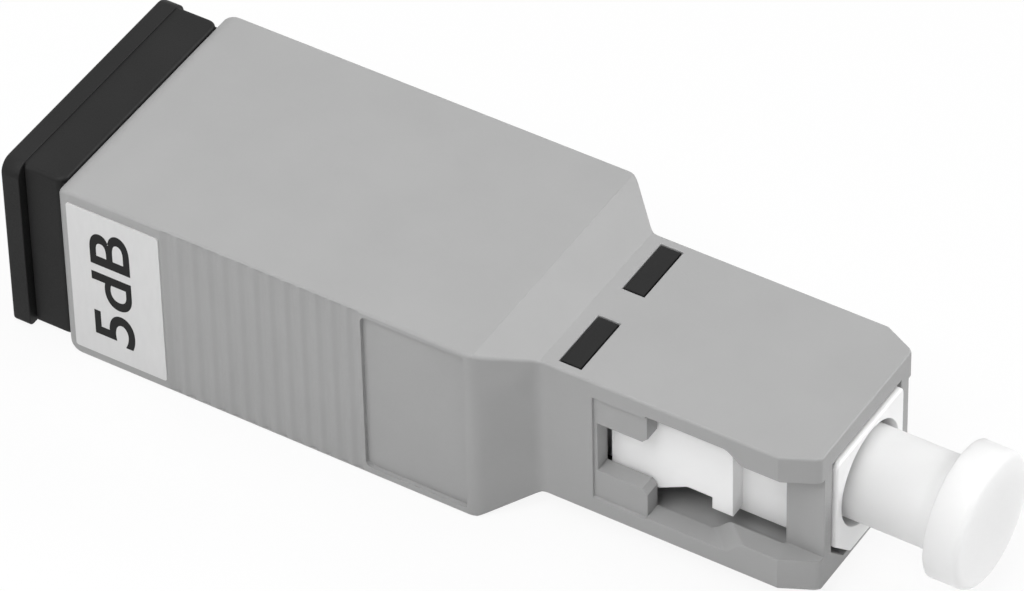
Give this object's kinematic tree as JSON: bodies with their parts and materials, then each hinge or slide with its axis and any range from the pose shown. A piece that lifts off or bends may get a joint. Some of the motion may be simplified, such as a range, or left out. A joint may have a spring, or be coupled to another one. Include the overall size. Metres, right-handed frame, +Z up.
{
  "type": "fibre optic attenuator",
  "caption": "Plug-and-socket fibre optic attenuator: grey push-pull plug housing with a ribbed grip, black receptacle end, white latch frame and a dust cap.",
  "frame": {"origin": "on the optical axis, at the rear face of the receptacle's flange, where a mating plug enters", "axes": "+X along the optical axis from the receptacle to the plug's tip, +Z up as it lies on its flat underside"},
  "size_m": [0.0436, 0.013, 0.0092],
  "materials": {
    "housing_grey": "fine satin moulding",
    "receptacle_black": "satin moulding",
    "frame_white": "smooth moulding",
    "cap_white": "soft translucent",
    "label_paper": "matt film",
    "label_print": "printed ink",
    "latch_plastic": "natural moulding",
    "zirconia": "ground and polished",
    "collar_nickel": "nickel plated, turned",
    "spring_steel": "drawn wire",
    "fibre_glass": "clear"
  },
  "bodies": {
    "shell": {"outer_housing": "housing_grey", "receptacle_body": "receptacle_black", "value_label": "label_paper"},
    "core": {"plug_frame": "frame_white", "port_latch": "latch_plastic", "inner_body": "latch_plastic", "alignment_sleeve": "zirconia", "ferrule_spring": "spring_steel"},
    "ferrule_unit": {"ferrule": "zirconia", "ferrule_collar": "collar_nickel", "attenuating_fibre": "fibre_glass"},
    "cap": {"dust_cap": "cap_white"}
  },
  "joints": [
    {"name": "push_pull", "type": "slide", "parent": "shell", "child": "core", "axis": [1, 0, 0], "range_m": [0, 0.0015]},
    {"name": "ferrule_float", "type": "slide", "parent": "core", "child": "ferrule_unit", "axis": [-1, 0, 0], "range_m": [0, 0.001], "stiffness_N_per_m": 2000, "deforming": ["ferrule_spring"]},
    {"name": "dust_cap_pull", "type": "slide", "parent": "ferrule_unit", "child": "cap", "axis": [1, 0, 0], "range_m": [0, 0.007]}
  ]
}
